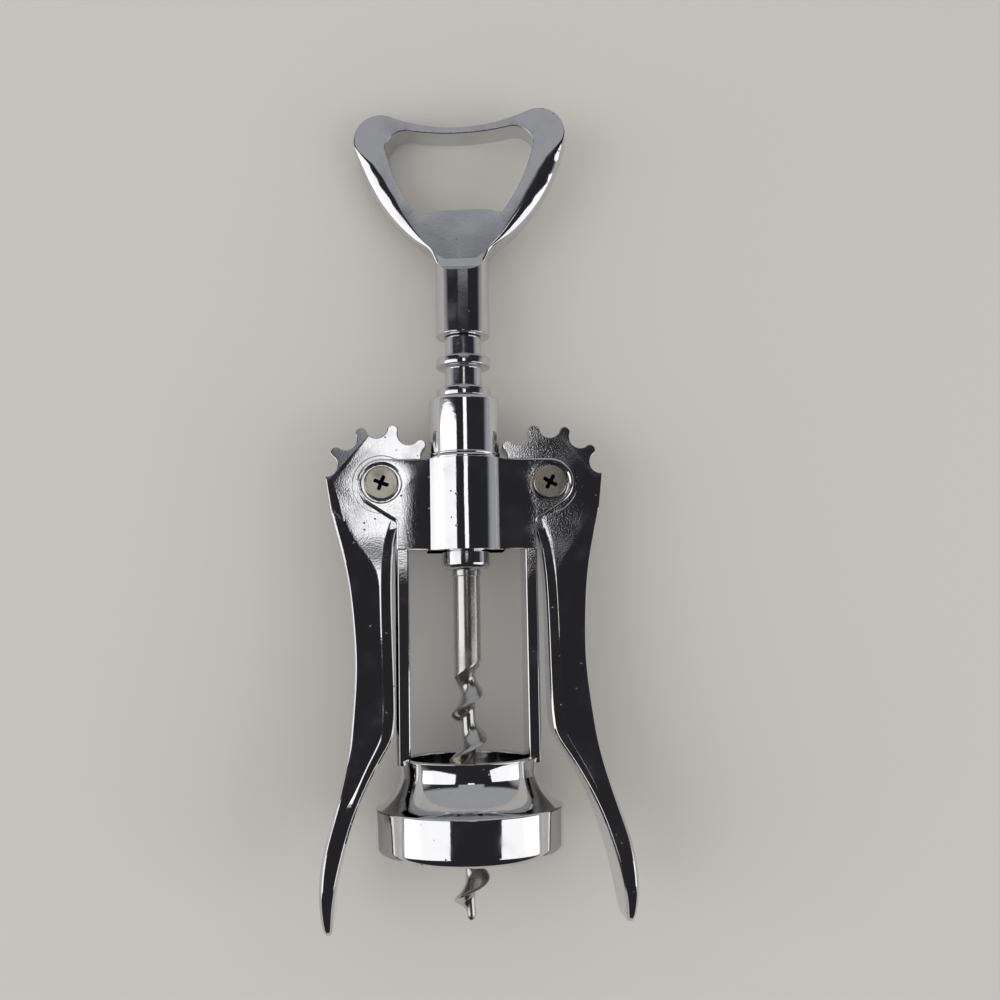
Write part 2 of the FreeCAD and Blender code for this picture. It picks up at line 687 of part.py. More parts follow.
def lever(side, word):
    """One lever in its own frame, with the pivot at the origin: toothed end, blade and paddle.

    The toothed end has one whole tooth past its last gap, on the rack's side.
    """
    half = size("lever_half_thickness")
    through = half + OVERRUN
    step = as_size(360) / size("teeth_in_circle")
    gap_total = int(sheet.get("tooth_gaps"))
    span = step * (gap_total + 0.5)
    start = size("first_tooth")
    wheel = cylinder(word + "Wheel", tip_radius, half * 2, z=-half, axis=(0, 0, 1),
                     degrees=start if side > 0 else 180 - start - span)
    bind(wheel, "Angle", span)
    hub = cylinder(word + "Hub", root_radius, half * 2, z=-half)
    front = prism(word + "BladeFront", blade_outline(side), size("broad_half_depth") + OVERRUN)
    profile = prism(word + "BladeSide", blade_depth_outline(), size("broad_outer") + OVERRUN)
    place(profile, axis=(0, 1, 0), degrees=90)
    blade = common(word + "Blade", front, profile)
    blank = fuse(word + "LeverBlank", wheel, hub, blade)
    tools = [
        cylinder(word + "LeverBore", size("barrel_nut_radius") + size("running_gap"), through * 2, z=-through)
    ]
    gap_centre = root_radius + size("tooth_gap_radius")
    for number in range(gap_total + 1):
        direction = start + step * (number + 0.5)
        tools.append(
            cylinder(word + "ToothGap%d" % number, size("tooth_gap_radius"), through * 2,
                     x=side * gap_centre * cosine(direction), y=gap_centre * sine(direction), z=-through)
        )
    return cut(word + "Lever", blank, *tools)


left = lever(-1, "Left")
place(left, x=-pivot_x, y=pivot_y)
finish(left, "lever_left")
right = lever(1, "Right")
place(right, x=pivot_x, y=pivot_y, axis=(0, 0, 1), degrees=size("right_opening"))
finish(right, "lever_right")

# ---------------------------------------------------------------- pivots
# A barrel nut goes in from the back and carries the lever; a cross-recessed screw closes it.

barrel_end = cheek_z - screw_seat
for side, word in ((-1, "left"), (1, "right")):
    nut = turned("BarrelNut" + word.capitalize(), [
        (size("screw_radius"), -cheek_z),
        (size("nut_head_radius"), -cheek_z),
        (size("nut_head_radius"), size("nut_head_height") - cheek_z),
        (size("barrel_nut_radius"), size("nut_head_height") - cheek_z),
        (size("barrel_nut_radius"), barrel_end),
        (size("screw_radius"), barrel_end),
    ], plane="XZ_Plane")
    place(nut, x=side * pivot_x, y=pivot_y)
    finish(nut, "barrel_nut_" + word)

    screw_top = cheek_z - size("end_gap")
    screw_under = screw_top - size("screw_head_height")
    screw = turned("ScrewBlank" + word.capitalize(), [
        (0, -cheek_z + size("nut_head_height")),
        (size("screw_radius"), -cheek_z + size("nut_head_height")),
        (size("screw_radius"), screw_under),
        (size("screw_head_radius"), screw_under),
        (size("screw_head_radius"), screw_top - size("screw_crown")),
        (size("screw_head_radius") - size("screw_crown"), screw_top),
        (0, screw_top),
    ], plane="XZ_Plane")
    place(screw, x=side * pivot_x, y=pivot_y)
    recess = size("recess_span")
    thin = size("recess_width")
    floor = screw_top - size("recess_depth")
    arms = [
        box("RecessAcross" + word, recess, thin, size("recess_depth") + OVERRUN,
            side * pivot_x - recess / 2, pivot_y - thin / 2, floor),
        box("RecessUpright" + word, thin, recess, size("recess_depth") + OVERRUN,
            side * pivot_x - thin / 2, pivot_y - recess / 2, floor),
    ]
    finish(cut("PivotScrew" + word.capitalize(), screw, *arms), "pivot_screw_" + word)

# ---------------------------------------------------------------- check and write

doc.recompute()
for thing in doc.Objects:
    if "Invalid" in thing.State or "Error" in thing.State:
        raise RuntimeError("failed: %s %s" % (thing.Name, thing.State))
os.makedirs("parts", exist_ok=True)
for node in finished:
    if node.Shape.isNull() or not node.Shape.isValid():
        raise RuntimeError("bad shape: " + node.Label)
    print("%-20s volume %9.2f  solids %d" % (node.Label, node.Shape.Volume, len(node.Shape.Solids)))
    node.Shape.exportStep("parts/%s.step" % node.Label)
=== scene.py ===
import math

import bmesh
import bpy
from mathutils import Euler, Matrix, Vector


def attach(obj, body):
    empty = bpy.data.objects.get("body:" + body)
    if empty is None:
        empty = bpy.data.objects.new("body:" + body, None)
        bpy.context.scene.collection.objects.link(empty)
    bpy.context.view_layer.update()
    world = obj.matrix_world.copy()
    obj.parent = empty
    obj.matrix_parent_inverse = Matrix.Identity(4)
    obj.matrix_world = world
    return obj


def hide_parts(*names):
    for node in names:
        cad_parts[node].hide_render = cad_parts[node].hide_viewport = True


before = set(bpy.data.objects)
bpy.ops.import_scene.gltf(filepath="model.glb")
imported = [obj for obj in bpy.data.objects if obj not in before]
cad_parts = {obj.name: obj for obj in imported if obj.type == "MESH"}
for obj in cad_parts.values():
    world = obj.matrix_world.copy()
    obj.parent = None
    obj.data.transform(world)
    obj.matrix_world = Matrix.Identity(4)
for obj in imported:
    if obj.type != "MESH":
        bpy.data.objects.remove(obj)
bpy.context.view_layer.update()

# ---------------------------------------------------------------- table, camera and daylight
# The tool lies on its back on a pale table: the top edge of the bell's lower band and the back of
# the opener head touch it, so the axis slopes down towards the handle.

MM = 0.001
TABLE_SLOPE = 0.0890
TABLE_TOUCH = (9.3, -19.3)  # along the axis and across it, in millimetres
TABLE_COLOUR = (0.56, 0.545, 0.52, 1.0)
TABLE_SIZE = 3.0

CAMERA_PLACE = (-13.10, 44.30, 238.01)
CAMERA_TURN = (0.1182, -0.0838, -0.0184)
CAMERA_LENS = 40.75


def node(tree, kind, **settings):
    """A shader node with its properties set; a socket is set by its name with spaces as underscores."""
    made = tree.nodes.new("ShaderNode" + kind)
    for key, value in settings.items():
        if hasattr(made, key):
            setattr(made, key, value)
        else:
            made.inputs[key.replace("_", " ")].default_value = value
    return made


def sums(tree, operation, first, second=None):
    """A Math node fed by sockets or numbers."""
    made = node(tree, "Math", operation=operation)
    for slot, feed in zip(made.inputs, (first, second)):
        if isinstance(feed, (int, float)):
            slot.default_value = feed
        elif feed is not None:
            tree.links.new(feed, slot)
    return made.outputs[0]


def ramp(tree, feed, low, high, to_low=0.0, to_high=1.0, smooth=True):
    """Feed taken from low..high to to_low..to_high, clamped."""
    made = node(tree, "MapRange", interpolation_type="SMOOTHSTEP" if smooth else "LINEAR")
    made.inputs["From Min"].default_value = low
    made.inputs["From Max"].default_value = high
    made.inputs["To Min"].default_value = to_low
    made.inputs["To Max"].default_value = to_high
    tree.links.new(feed, made.inputs["Value"])
    return made.outputs["Result"]


def blend_colours(tree, share, first, second):
    """Mix of two colours, given as sockets or numbers, by a share from 0 to 1."""
    made = node(tree, "Mix", data_type="RGBA")
    tree.links.new(share, made.inputs[0])
    for slot, feed in ((made.inputs[6], first), (made.inputs[7], second)):
        if isinstance(feed, tuple):
            slot.default_value = feed
        else:
            tree.links.new(feed, slot)
    return made.outputs[2]


def new_material(name):
    """An empty node material and its Principled shader."""
    material = bpy.data.materials.new(name)
    material.use_nodes = True
    return material, material.node_tree, material.node_tree.nodes["Principled BSDF"]


def keep(bm, name, material, crease=35.0):
    """Turn a mesh drawn in millimetres into a finished object in the row frame."""
    bmesh.ops.transform(bm, matrix=Matrix.Scale(MM, 4), verts=bm.verts)
    mesh = bpy.data.meshes.new(name)
    bm.to_mesh(mesh)
    bm.free()
    mesh.materials.append(material)
    mesh.shade_smooth()
    mesh.set_sharp_from_angle(angle=math.radians(crease))
    made = bpy.data.objects.new(name, mesh)
    bpy.context.scene.collection.objects.link(made)
    even = made.modifiers.new("even_shading", "WEIGHTED_NORMAL")
    even.mode = "FACE_AREA"
    even.weight = 90
    even.keep_sharp = True
    return made


table_material, tree, shader = new_material("table_paper")
shader.inputs["Base Color"].default_value = TABLE_COLOUR
shader.inputs["Roughness"].default_value = 0.95
bm = bmesh.new()
bmesh.ops.create_grid(bm, x_segments=1, y_segments=1, size=TABLE_SIZE / MM / 2)
lean = math.atan(TABLE_SLOPE)
bmesh.ops.rotate(bm, matrix=Matrix.Rotation(lean, 3, "X"), verts=bm.verts)
bmesh.ops.translate(bm, vec=(0, TABLE_TOUCH[0], TABLE_TOUCH[1]), verts=bm.verts)
table = keep(bm, "table", table_material)

camera_data = bpy.data.cameras.new("camera")
camera_data.sensor_width = 36.0
camera_data.lens = CAMERA_LENS
camera_data.clip_start = 0.01
camera = bpy.data.objects.new("camera", camera_data)
bpy.context.scene.collection.objects.link(camera)
camera.location = Vector(CAMERA_PLACE) * MM
camera.rotation_euler = Euler(CAMERA_TURN, "XYZ")
bpy.context.scene.camera = camera
bpy.context.scene.view_settings.view_transform = "Standard"


def window(name, angle, tilt, width, height, distance, brightness):
    """A soft daylight window at an angle from straight above, turned towards +X, and tilted to +Y."""
    lamp = bpy.data.lights.new(name, "AREA")
    lamp.shape = "RECTANGLE"
    lamp.size = width
    lamp.size_y = height
    lamp.energy = brightness * math.pi * width * height
    made = bpy.data.objects.new(name, lamp)
    bpy.context.scene.collection.objects.link(made)
    turn = Matrix.Rotation(math.radians(angle), 4, "Y") @ Matrix.Rotation(math.radians(-tilt), 4, "X")
    made.matrix_world = Matrix.Translation((0, 0.06, 0)) @ turn @ Matrix.Translation((0, 0, distance))
    return made


window("window_left", -57, -6, 1.15, 0.72, 1.0, 1.4)
window("window_right", 61, -17, 0.98, 0.50, 1.0, 1.4)
window("skylight", 0, 9.6, 0.18, 0.20, 1.0, 1.5)

world = bpy.data.worlds.new("room")
world.use_nodes = True
bpy.context.scene.world = world
tree = world.node_tree
sky = tree.nodes["Background"]
way = node(tree, "SeparateXYZ")
tree.links.new(node(tree, "TexCoord").outputs["Generated"], way.inputs[0])
across = sums(tree, "ABSOLUTE", way.outputs["X"])
beside = ramp(tree, across, 0.86, 0.98)
beyond = ramp(tree, way.outputs["Y"], 0.26, 0.38)
ahead = ramp(tree, across, 0.31, 0.37, 1.0, 0.0)
far = ramp(tree, way.outputs["Y"], 0.44, 0.54)
wall = sums(tree, "MAXIMUM", sums(tree, "MULTIPLY", beyond, ahead), far)
lit = sums(tree, "MAXIMUM", beside, wall)
ceiling = blend_colours(tree, lit, (0.025, 0.025, 0.028, 1.0), (0.42, 0.43, 0.45, 1.0))
ray = node(tree, "LightPath")
plain = blend_colours(tree, ray.outputs["Is Glossy Ray"], (0.74, 0.73, 0.715, 1.0), ceiling)
seen = blend_colours(tree, ray.outputs["Is Camera Ray"], plain, TABLE_COLOUR)
tree.links.new(seen, sky.inputs["Color"])
sky.inputs["Strength"].default_value = 1.0

# ---------------------------------------------------------------- metal finishes
# Bright chrome over a zinc casting: mirror-like, a little wavy, with fine pits where the plating
# has broken through, and duller where it has been handled.


def chrome(name, tint, roughness, waves=1.0, peel=1.0, pits=0.5, haze=0.1, grain=0.0):
    """Plated metal; waves and peel bend the reflections, pits is how many specks show, and grain is
    the texture of the cast faces beside the pivots, which are less polished than the rest."""
    material, tree, shader = new_material(name)
    place = node(tree, "TexCoord").outputs["Object"]

    def noise(scale, detail=2.0):
        made = node(tree, "TexNoise", Scale=scale, Detail=detail)
        tree.links.new(place, made.inputs["Vector"])
        return made.outputs[0]

    cells = node(tree, "TexVoronoi", Scale=900.0)
    tree.links.new(place, cells.inputs["Vector"])
    chance = node(tree, "SeparateColor")
    tree.links.new(cells.outputs["Color"], chance.inputs[0])
    chosen = ramp(tree, chance.outputs[0], 1.0 - 0.12 * pits, 1.0 - 0.12 * pits + 0.01)
    spot = ramp(tree, cells.outputs["Distance"], 0.10, 0.22, 1.0, 0.0)
    crowd = ramp(tree, noise(90.0), 0.42, 0.62)
    pit = sums(tree, "MULTIPLY", sums(tree, "MULTIPLY", spot, chosen), crowd)

    worn = ramp(tree, noise(160.0, 5.0), 0.45, 0.75)
    dulled = sums(tree, "MULTIPLY_ADD", worn, haze)
    dulled.node.inputs[2].default_value = roughness
    rough = sums(tree, "MAXIMUM", dulled, sums(tree, "MULTIPLY", pit, 0.6))
    tree.links.new(rough, shader.inputs["Roughness"])

    shade = blend_colours(tree, worn, tint + (1.0,), tuple(c * 0.9 for c in tint) + (1.0,))
    colour = blend_colours(tree, pit, shade, (0.05, 0.047, 0.045, 1.0))
    tree.links.new(colour, shader.inputs["Base Color"])
    shader.inputs["Metallic"].default_value = 1.0

    wavy = node(tree, "Bump", Strength=1.0, Distance=0.00006 * waves)
    tree.links.new(noise(110.0, 1.0), wavy.inputs["Height"])
    peeled = node(tree, "Bump", Strength=1.0, Distance=0.000004 * peel)
    tree.links.new(noise(1500.0, 3.0), peeled.inputs["Height"])
    tree.links.new(wavy.outputs[0], peeled.inputs["Normal"])
    dented = node(tree, "Bump", Strength=1.0, Distance=0.00003)
    dented.invert = True
    tree.links.new(pit, dented.inputs["Height"])
    tree.links.new(peeled.outputs[0], dented.inputs["Normal"])
    grained = node(tree, "Bump", Strength=1.0, Distance=0.00001 * grain)
    spread = node(tree, "SeparateXYZ")
    tree.links.new(place, spread.inputs[0])
    outside = ramp(tree, sums(tree, "ABSOLUTE", spread.outputs["X"]), 0.0080, 0.0084)
    above = ramp(tree, spread.outputs["Y"], 0.050, 0.062)
    patch = sums(tree, "MULTIPLY", outside, above)
    tree.links.new(sums(tree, "MULTIPLY", noise(3200.0, 3.0), patch), grained.inputs["Height"])
    tree.links.new(dented.outputs[0], grained.inputs["Normal"])
    tree.links.new(grained.outputs[0], shader.inputs["Normal"])
    return material


frame_chrome = chrome("frame_chrome", (0.66, 0.66, 0.67), 0.05, pits=1.0, grain=1.5)
collar_chrome = chrome("collar_chrome", (0.70, 0.70, 0.71), 0.04, waves=0.5, pits=0.3)
rack_chrome = chrome("rack_chrome", (0.64, 0.64, 0.65), 0.07, waves=0.6)
head_chrome = chrome("head_chrome", (0.66, 0.66, 0.67), 0.06, pits=0.4)
lever_chrome = chrome("lever_chrome", (0.64, 0.64, 0.65), 0.05, waves=1.2, pits=1.0, grain=1.5)
worm_nickel = chrome("worm_nickel", (0.56, 0.55, 0.53), 0.20, waves=1.0, peel=3.0, pits=0.3, haze=0.15)
pivot_nickel = chrome("pivot_nickel", (0.44, 0.41, 0.36), 0.22, peel=2.0, pits=0.6, haze=0.2)

# painted shade in the crossed holes of the pivot screws: below the heads' faces and close to their axes the colour
# is darkened nearly to black and the surface made rougher
tree = pivot_nickel.node_tree
shader = tree.nodes["Principled BSDF"]
place = node(tree, "SeparateXYZ")
tree.links.new(node(tree, "TexCoord").outputs["Object"], place.inputs[0])
beside_pivot = sums(tree, "SUBTRACT", sums(tree, "ABSOLUTE", place.outputs["X"]), 0.0176)
above_pivot = sums(tree, "SUBTRACT", place.outputs["Y"], 0.0755)
squares = [sums(tree, "MULTIPLY", side, side) for side in (beside_pivot, above_pivot)]
from_axis = sums(tree, "SQRT", sums(tree, "ADD", *squares))
inside = ramp(tree, from_axis, 0.0021, 0.0024, 1.0, 0.0)
below = ramp(tree, place.outputs["Z"], 0.0048, 0.00503, 1.0, 0.0)
# mask of the painted shade: inside the crossed hole and below the head's face
recess_shade = sums(tree, "MULTIPLY", inside, below)
unshaded_colour = shader.inputs["Base Color"].links[0].from_socket
# painted shade: the colour in the crossed holes mixed nearly to black
shaded_recess_colour = blend_colours(tree, recess_shade, unshaded_colour, (0.012, 0.009, 0.007, 1.0))
tree.links.new(shaded_recess_colour, shader.inputs["Base Color"])
polish = shader.inputs["Roughness"].links[0].from_socket
tree.links.new(sums(tree, "MAXIMUM", polish, sums(tree, "MULTIPLY", recess_shade, 0.8)), shader.inputs["Roughness"])


# ---------------------------------------------------------------- frame casting
# The bell that stands on the bottle's neck, the two struts and the yoke that holds the wings are
# one zinc casting, polished and chromed; the polishing has rounded all its edges a little.

PIVOT = (17.6, 75.5)
ROUND_STEPS = 160
YOKE_TOP = 80.6
YOKE_BOTTOM = 61.4
CHEEK_HALF = 5.2
RACK_BORE = 5.89
SEAT_RADIUS = 6.9
SEAT_DEPTH = 1.5
SLOT_RADIUS = 13.4
SLOT_HALF = 2.6
PIVOT_HOLE = 2.62
COUNTERBORE = 4.05
COUNTERBORE_FLOOR = (3.6, -4.0)
RIM_POLISH = 0.35
FRAME_EDGE = 0.42
STRUT_SPAN = (18.0, 62.4)

# radius, height, bend of the surface that starts there, how far the corner is rounded back
BELL = (
    (16.2, 0.0, None, 0.3),
    (19.25, 0.0, None, 2.0),
    (19.25, 9.3, -8.7, 0.3),
    (14.0, 15.4, -13.1, 0.0),
    (14.5, 19.0, None, 0.35),
    (12.4, 19.0, None, 0.4),
    (12.4, 9.0, None, 0.6),
    (15.6, 9.0, None, 0.8),
    (15.6, 0.6, None, 0.3),
)
STRUT = (
    (11.95, -5.1, None, 0.45),
    (14.22, -5.1, 15.1, 0.45),
    (14.85, -2.73, None, 0.0),
    (14.85, 2.73, 15.1, 0.0),
    (14.22, 5.1, None, 0.45),
    (11.95, 5.1, None, 0.45),
)
# the yoke's round middle from above, with the hollow fillets that lead on to the cheeks
BARREL = (
    (8.2, -5.16, None, 0.0),
    (8.2, 5.16, -3.0, 0.0),
    (6.08, 6.08, 8.6, 0.0),
    (-6.08, 6.08, -3.0, 0.0),
    (-8.2, 5.16, None, 0.0),
    (-8.2, -5.16, -3.0, 0.0),
    (-6.08, -6.08, 8.6, 0.0),
    (6.08, -6.08, -3.0, 0.0),
)
YOKE = (
    (17.6, 80.5, -5.0, 0.0),
    (20.32, 71.31, None, 0.0),
    (14.5, 67.53, None, 0.5),
    (14.5, 61.4, None, 0.4),
    (-14.5, 61.4, None, 0.4),
    (-14.5, 67.53, None, 0.5),
    (-20.32, 71.31, -5.0, 0.0),
    (-17.6, 80.5, None, 0.0),
)


def arc_on(bm, start, centre, degrees, steps):
    """Bend a wire on from a vertex about a centre, and give its last vertex."""
    made = bmesh.ops.spin(
        bm, geom=[start], cent=(centre[0], centre[1], 0), axis=(0, 0, 1),
        angle=math.radians(degrees), steps=steps, use_duplicate=False,
    )
    return [part for part in made["geom_last"] if isinstance(part, bmesh.types.BMVert)][0]


def outline(bm, corners, steps=24):
    """A closed wire through corners of x, y, bend and round. A bend is the radius of the edge that
    starts there, above zero where it turns left."""
    starts = [bm.verts.new((x, y, 0)) for x, y, _, _ in corners]
    for start, end, (_, _, bend, _) in zip(starts, starts[1:] + starts[:1], corners):
        if bend is None:
            bm.edges.new((start, end))
            continue
        half = (end.co - start.co) / 2
        left = Vector((-half.y, half.x, 0)).normalized() * math.copysign(1, bend)
        centre = start.co + half + left * math.sqrt(bend * bend - half.length_squared)
        turn = math.degrees(2 * math.asin(half.length / abs(bend)))
        last = arc_on(bm, start, centre, math.copysign(turn, bend), steps)
        bmesh.ops.weld_verts(bm, targetmap={last: end})
    for start, (_, _, _, cut_back) in zip(starts, corners):
        if cut_back:
            bmesh.ops.bevel(
                bm, geom=[start], offset=cut_back, offset_type="OFFSET", affect="VERTICES",
                segments=5, profile=0.5, material=-1, clamp_overlap=True,
            )
    return bm


def solid_from(bm, half):
    """Fill a closed wire and pull it to both sides of the middle plane."""
    bmesh.ops.remove_doubles(bm, verts=bm.verts, dist=0.001)
    made = bmesh.ops.contextual_create(bm, geom=list(bm.edges))
    bmesh.ops.translate(bm, vec=(0, 0, -half), verts=bm.verts)
    raised = bmesh.ops.extrude_face_region(bm, geom=made["faces"])
    moved = [part for part in raised["geom"] if isinstance(part, bmesh.types.BMVert)]
    bmesh.ops.translate(bm, vec=(0, 0, half * 2), verts=moved)
    bmesh.ops.recalc_face_normals(bm, faces=bm.faces)
    return bm


def turned(corners, steps=ROUND_STEPS):
    """A closed profile of x and y, turned once round the Y axis."""
    bm = outline(bmesh.new(), corners)
    bmesh.ops.spin(
        bm, geom=bm.verts[:] + bm.edges[:], cent=(0, 0, 0), axis=(0, 1, 0),
        angle=math.tau, steps=steps, use_merge=True, use_duplicate=False,
    )
    bmesh.ops.remove_doubles(bm, verts=bm.verts, dist=0.0005)
    bmesh.ops.recalc_face_normals(bm, faces=bm.faces)
    return bm


def break_edges(bm, width, segments, sharper_than=40.0):
    """Round every edge that turns more than an angle."""
    edges = [e for e in bm.edges if len(e.link_faces) == 2 and e.calc_face_angle(0) > math.radians(sharper_than)]
    bmesh.ops.bevel(
        bm, geom=edges, offset=width, offset_type="OFFSET", affect="EDGES",
        segments=segments, profile=0.5, material=-1, clamp_overlap=True,
    )
    return bm


def drum(radius, low, high, top_radius=None, place=(0, 0), upright=False):
    """A plain or tapered drum along Z at a place in the front view, or along Y if upright."""
    bm = bmesh.new()
    bmesh.ops.create_cone(
        bm, cap_ends=True, segments=ROUND_STEPS, radius1=radius,
        radius2=radius if top_radius is None else top_radius, depth=high - low,
    )
    bmesh.ops.translate(bm, vec=(place[0], place[1], (low + high) / 2), verts=bm.verts)
    if upright:
        bmesh.ops.rotate(bm, matrix=Matrix.Rotation(-math.pi / 2, 3, "X"), verts=bm.verts)
    return bm


def loose(bm, levels=0):
    """A helper object, still in millimetres, for joining and cutting."""
    mesh = bpy.data.meshes.new("helper")
    bm.to_mesh(mesh)
    bm.free()
    made = bpy.data.objects.new("helper", mesh)
    bpy.context.scene.collection.objects.link(made)
    if levels:
        smoothing = made.modifiers.new("smoothing", "SUBSURF")
        smoothing.levels = smoothing.render_levels = levels
    return made


def combined(base, joined=(), removed=()):
    """The base with helpers joined to it and then others cut out of it, as a mesh again."""
    steps = [("UNION", tool) for tool in joined] + [("DIFFERENCE", tool) for tool in removed]
    for operation, tool in steps:
        step = base.modifiers.new("step", "BOOLEAN")
        step.operation = operation
        step.object = tool
        step.solver = "EXACT"
    bpy.context.view_layer.update()
    mesh = bpy.data.meshes.new_from_object(base.evaluated_get(bpy.context.evaluated_depsgraph_get()))
    bm = bmesh.new()
    bm.from_mesh(mesh)
    bpy.data.meshes.remove(mesh)
    for helper in [base] + [tool for _, tool in steps]:
        bpy.data.objects.remove(helper)
    bmesh.ops.remove_doubles(bm, verts=bm.verts, dist=0.001)
    return bm


def gear_rooms():
    """The two round slots that the toothed ends of the wings turn in."""
    return [loose(drum(SLOT_RADIUS, -SLOT_HALF, SLOT_HALF, place=(side * PIVOT[0], PIVOT[1]))) for side in (-1, 1)]


struts = []
for side in (-1, 1):
    bm = solid_from(outline(bmesh.new(), STRUT), (STRUT_SPAN[1] - STRUT_SPAN[0]) / 2)
    bmesh.ops.rotate(bm, matrix=Matrix.Rotation(-math.pi / 2, 3, "X"), verts=bm.verts)
    bmesh.ops.translate(bm, vec=(0, sum(STRUT_SPAN) / 2, 0), verts=bm.verts)
    bmesh.ops.scale(bm, vec=(side, 1, 1), verts=bm.verts)
    bmesh.ops.recalc_face_normals(bm, faces=bm.faces)
    struts.append(loose(bm))
barrel = solid_from(outline(bmesh.new(), BARREL), (YOKE_TOP - YOKE_BOTTOM) / 2)
bmesh.ops.rotate(barrel, matrix=Matrix.Rotation(-math.pi / 2, 3, "X"), verts=barrel.verts)
bmesh.ops.translate(barrel, vec=(0, (YOKE_TOP + YOKE_BOTTOM) / 2, 0), verts=barrel.verts)
break_edges(barrel, 0.3, 3, sharper_than=60.0)
holes = [
    loose(drum(RACK_BORE, YOKE_BOTTOM - 1, YOKE_TOP + 1, upright=True)),
    loose(drum(SEAT_RADIUS, YOKE_TOP - SEAT_DEPTH, YOKE_TOP + 1, upright=True)),
]
holes += gear_rooms()
for side in (-1, 1):
    place = (side * PIVOT[0], PIVOT[1])
    front, back = COUNTERBORE_FLOOR
    holes.append(loose(drum(PIVOT_HOLE, -CHEEK_HALF - 1, CHEEK_HALF + 1, place=place)))
    holes.append(loose(drum(COUNTERBORE, front, CHEEK_HALF + 1, place=place)))
    holes.append(loose(drum(COUNTERBORE, -CHEEK_HALF - 1, back, place=place)))
    low, high = CHEEK_HALF - RIM_POLISH, CHEEK_HALF + RIM_POLISH
    wide = COUNTERBORE + RIM_POLISH * 2
    holes.append(loose(drum(COUNTERBORE - 0.01, low, high, top_radius=wide, place=place)))
yoke = break_edges(solid_from(outline(bmesh.new(), YOKE), CHEEK_HALF), FRAME_EDGE, 3)
bm = combined(loose(yoke), joined=[loose(barrel), loose(turned(BELL))] + struts, removed=holes)
casting = keep(bm, "frame_casting_metal", frame_chrome, crease=35.0)
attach(casting, "frame")
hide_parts("frame_casting")

# ---------------------------------------------------------------- guide collar
# A turned bush pressed into the top of the yoke; the rack slides through it.

COLLAR_SEAT = 6.86
COLLAR = (
    (5.93, 79.2, None, 0.2),
    (6.86, 79.2, None, 0.2),
    (6.86, 80.6, None, 0.0),
    (7.85, 80.6, None, 0.15),
    (7.85, 81.15, None, 0.15),
    (7.68, 81.4, None, 0.0),
    (7.8, 81.65, None, 0.1),
    (7.8, 81.85, None, 0.1),
    (7.55, 82.0, None, 0.0),
    (7.55, 93.9, None, 0.9),
    (5.93, 93.9, None, 0.3),
)
bm = combined(loose(turned(COLLAR)), removed=gear_rooms())
collar = keep(bm, "guide_collar_metal", collar_chrome)
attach(collar, "frame")
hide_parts("guide_collar")

# ---------------------------------------------------------------- rack
# A steel sleeve with round rings; the teeth of both wings run in its grooves, so that it climbs as
# they open. Its plain lower end shows under the yoke.

RACK_SLEEVE = 2.47
RING_RADIUS = 5.82
GROOVE_RADIUS = 3.95
RING_HALF = 1.05
RING_PITCH = 6.68
FIRST_RING = 101.75
RINGS = 6
RACK_TOP = 107.35

rack_profile = [
    (RACK_SLEEVE, 57.5, None, 0.2),
    (5.2, 57.5, None, 1.4),
    (5.2, FIRST_RING - RING_PITCH * (RINGS - 1) - RING_HALF, None, 0.0),
]
for number in range(RINGS):
    middle = FIRST_RING - RING_PITCH * (RINGS - 1 - number)
    if number:
        rack_profile.append((GROOVE_RADIUS, middle - RING_HALF, None, 0.5))
    rack_profile.append((RING_RADIUS, middle - RING_HALF, None, 0.4))
    rack_profile.append((RING_RADIUS, middle + RING_HALF, None, 0.4))
    rack_profile.append((GROOVE_RADIUS, middle + RING_HALF, None, 0.5))
rack_profile.append((GROOVE_RADIUS, RACK_TOP, None, 0.2))
rack_profile.append((RACK_SLEEVE, RACK_TOP, None, 0.1))
rack = keep(turned(rack_profile), "rack_shaft_metal", rack_chrome)
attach(rack, "rack")
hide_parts("rack_shaft")

# ---------------------------------------------------------------- levers
# Each wing is a zinc casting: a toothed disc that turns in the yoke, a blade with slanted edges,
# and a broad curved paddle for the hand. Both turn on the barrel nuts in the ears.

RIGHT_LEVER_TURN = 2.2
GAP_CENTRE = 12.15
GAP_RADIUS = 2.25
TIP_CENTRE = 11.75
TOOTH_STEP = 360.0 / 11
FIRST_TOOTH = 3.6
GAPS = 7
DISC_HALF = 2.45
HUB_RADIUS = 9.9
DISH_RADIUS = 6.0
DISH_FLOOR = 2.2
LEVER_BORE = 2.67

